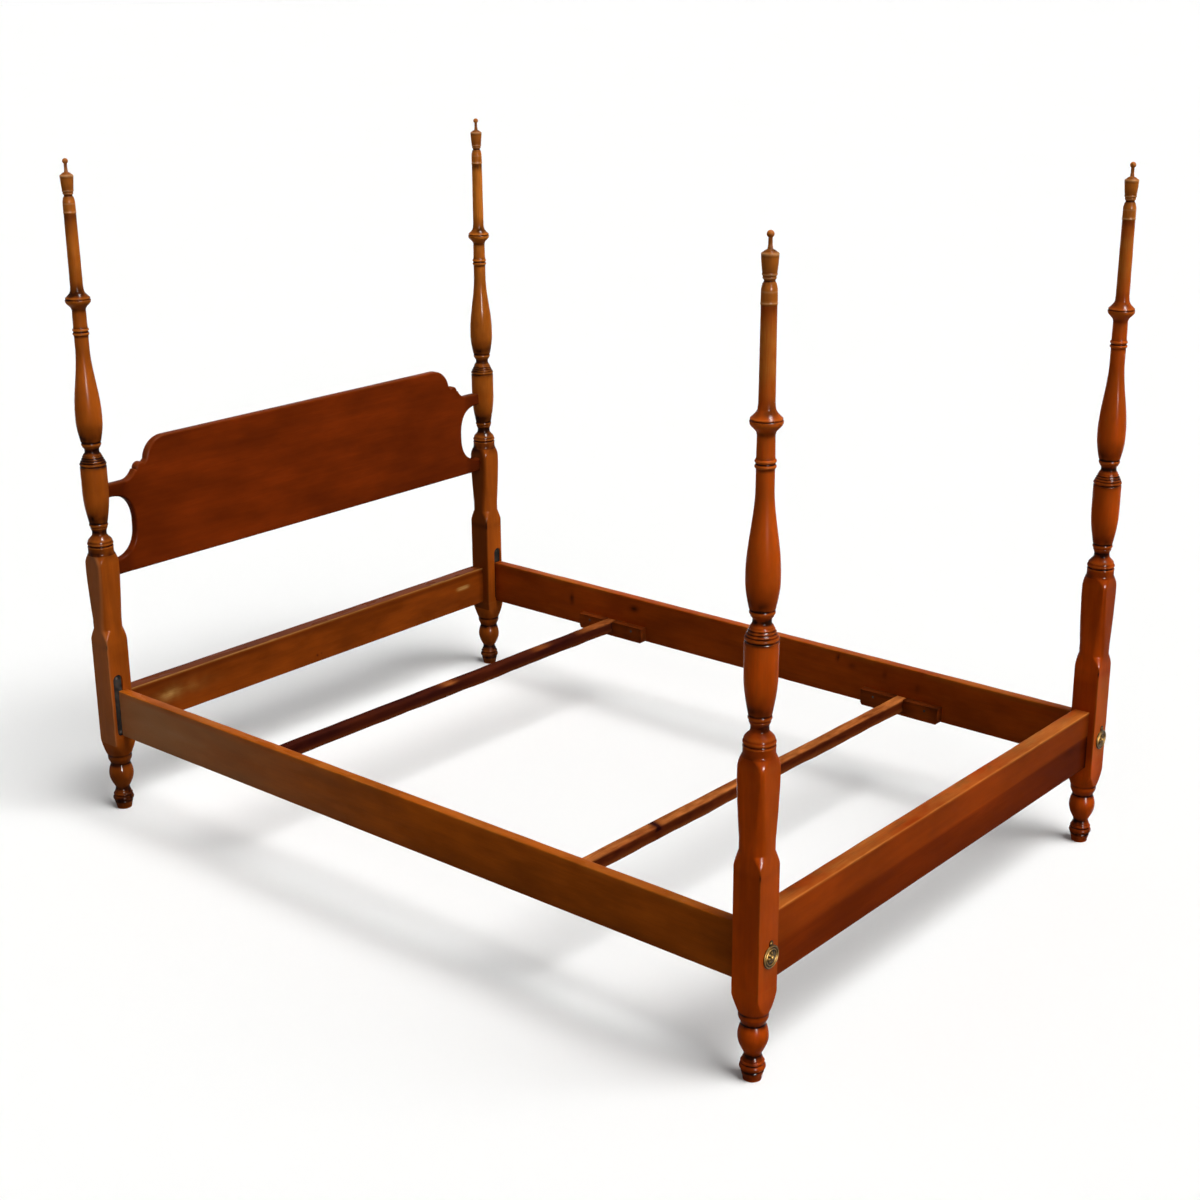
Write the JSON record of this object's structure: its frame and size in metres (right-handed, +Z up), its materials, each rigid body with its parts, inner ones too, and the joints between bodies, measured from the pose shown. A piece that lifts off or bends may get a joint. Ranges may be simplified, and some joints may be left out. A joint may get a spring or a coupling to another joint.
{
  "type": "four-post bed",
  "caption": "Four-post bed frame with turned posts, a shaped headboard, side, head and foot rails, loose slats in notched cleats and swinging bolt covers.",
  "frame": {"origin": "on the floor under the middle of the bed's bounding box", "axes": "+X to the right seen from the foot, +Y from foot to head, +Z up"},
  "size_m": [1.454, 2.0814, 1.655],
  "materials": {
    "post_wood": "satin lacquer over stain",
    "finial_wood": "satin lacquer over stain",
    "panel_wood": "satin lacquer over stain",
    "rail_wood": "satin lacquer over stain",
    "slat_wood": "satin lacquer over stain",
    "cleat_wood": "satin lacquer over stain",
    "plate_steel": "dark oiled",
    "screw_steel": "dull",
    "cover_brass": "antique lacquered"
  },
  "bodies": {
    "frame": {"post_head_left": "post_wood", "post_head_right": "post_wood", "post_foot_left": "post_wood", "post_foot_right": "post_wood", "headboard": "panel_wood", "head_rail": "rail_wood", "foot_rail": "rail_wood", "side_rail_left": "rail_wood", "side_rail_right": "rail_wood", "cleat_head_left": "cleat_wood", "cleat_head_right": "cleat_wood", "cleat_foot_left": "cleat_wood", "cleat_foot_right": "cleat_wood", "cleat_screws": "screw_steel", "hook_plate_left": "plate_steel", "hook_plate_right": "plate_steel", "socket_plate_left": "plate_steel", "socket_plate_right": "plate_steel", "hook_screws": "screw_steel", "socket_screws": "screw_steel", "cover_screws": "cover_brass", "bed_bolts": "screw_steel", "bed_nuts": "screw_steel"},
    "finial_head_left": {"finial_head_left": "finial_wood"},
    "finial_head_right": {"finial_head_right": "finial_wood"},
    "finial_foot_left": {"finial_foot_left": "finial_wood"},
    "finial_foot_right": {"finial_foot_right": "finial_wood"},
    "slat_head": {"slat_head": "slat_wood"},
    "slat_foot": {"slat_foot": "slat_wood"},
    "bolt_cover_left": {"bolt_cover_left": "cover_brass"},
    "bolt_cover_right": {"bolt_cover_right": "cover_brass"}
  },
  "joints": [
    {"name": "finial_head_left_lift", "type": "slide", "parent": "frame", "child": "finial_head_left", "axis": [0, 0, 1], "range_m": [0, 0.04]},
    {"name": "finial_head_right_lift", "type": "slide", "parent": "frame", "child": "finial_head_right", "axis": [0, 0, 1], "range_m": [0, 0.04]},
    {"name": "finial_foot_left_lift", "type": "slide", "parent": "frame", "child": "finial_foot_left", "axis": [0, 0, 1], "range_m": [0, 0.04]},
    {"name": "finial_foot_right_lift", "type": "slide", "parent": "frame", "child": "finial_foot_right", "axis": [0, 0, 1], "range_m": [0, 0.04]},
    {"name": "slat_head_lift", "type": "slide", "parent": "frame", "child": "slat_head", "axis": [0, 0, 1], "range_m": [0, 0.13]},
    {"name": "slat_foot_lift", "type": "slide", "parent": "frame", "child": "slat_foot", "axis": [0, 0, 1], "range_m": [0, 0.13]},
    {"name": "bolt_cover_left_swing", "type": "hinge", "parent": "frame", "child": "bolt_cover_left", "pos_m": [-0.688, -1.03335, 0.305], "axis": [0, 1, 0], "continuous": true},
    {"name": "bolt_cover_right_swing", "type": "hinge", "parent": "frame", "child": "bolt_cover_right", "pos_m": [0.702, -1.03335, 0.305], "axis": [0, 1, 0], "continuous": true}
  ]
}
